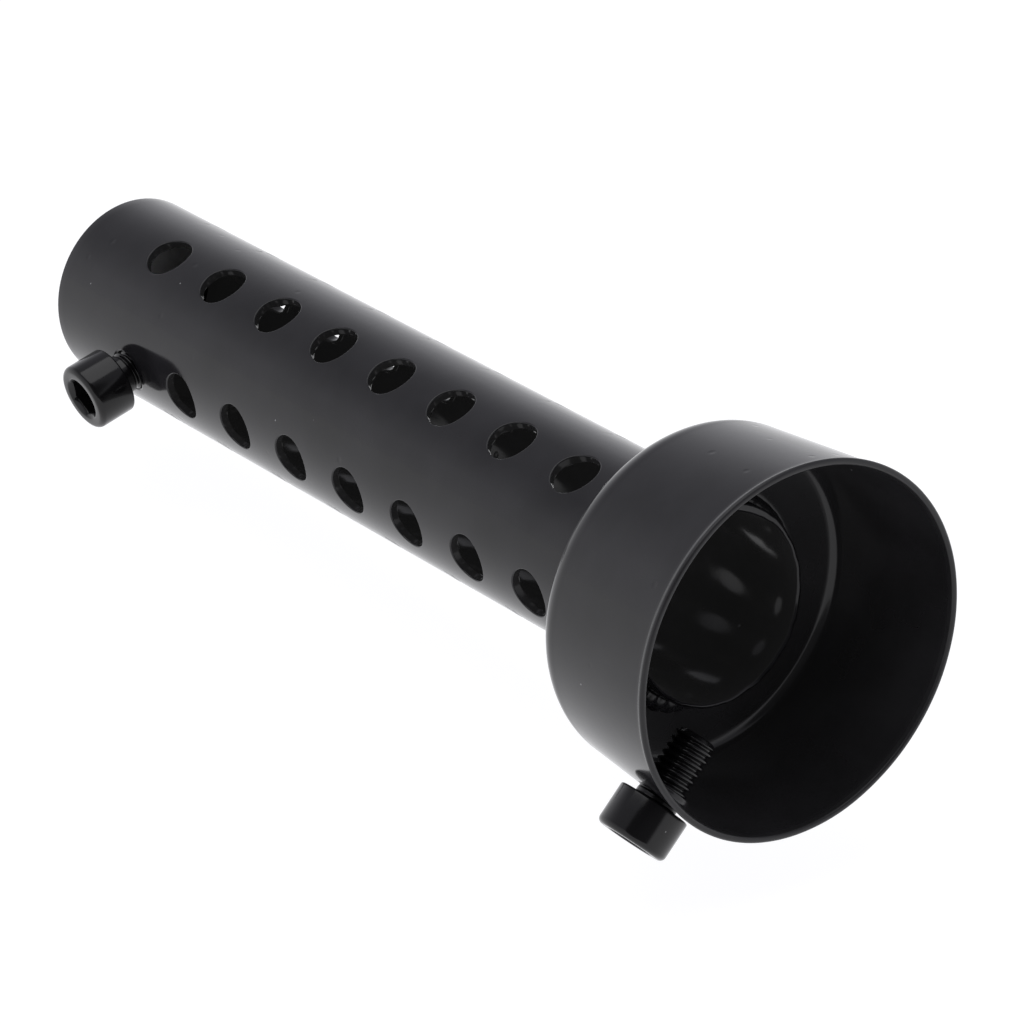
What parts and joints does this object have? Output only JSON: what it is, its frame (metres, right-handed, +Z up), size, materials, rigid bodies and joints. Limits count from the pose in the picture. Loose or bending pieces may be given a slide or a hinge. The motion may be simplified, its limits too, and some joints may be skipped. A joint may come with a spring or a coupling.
{
  "type": "exhaust baffle insert",
  "caption": "Perforated tube welded into a flared cup, with a closed tail and socket-head clamp screws, that slides into an exhaust outlet to quieten it.",
  "frame": {"origin": "centre of the tail disc's outer face", "axes": "+X along the tube's axis, from the closed tail to the open mouth; +Z up with the part lying on its side"},
  "size_m": [0.153, 0.051, 0.0512],
  "materials": {
    "black_paint": "gloss black paint",
    "black_screw": "gloss black over steel"
  },
  "bodies": {
    "insert": {"mouth_cup": "black_paint", "baffle_tube": "black_paint", "tail_disc": "black_paint", "cup_weld": "black_paint", "tail_weld": "black_paint"},
    "mouth_screw": {"mouth_screw": "black_screw"},
    "tail_screw": {"tail_screw": "black_screw"}
  },
  "joints": [
    {"name": "mouth_screw_travel", "type": "slide", "parent": "insert", "child": "mouth_screw", "axis": [0, -0.6871, -0.7266], "range_m": [0, 0.009]},
    {"name": "tail_screw_travel", "type": "slide", "parent": "insert", "child": "tail_screw", "axis": [0, -0.9563, -0.2924], "range_m": [-0.0015, 0.008]}
  ]
}
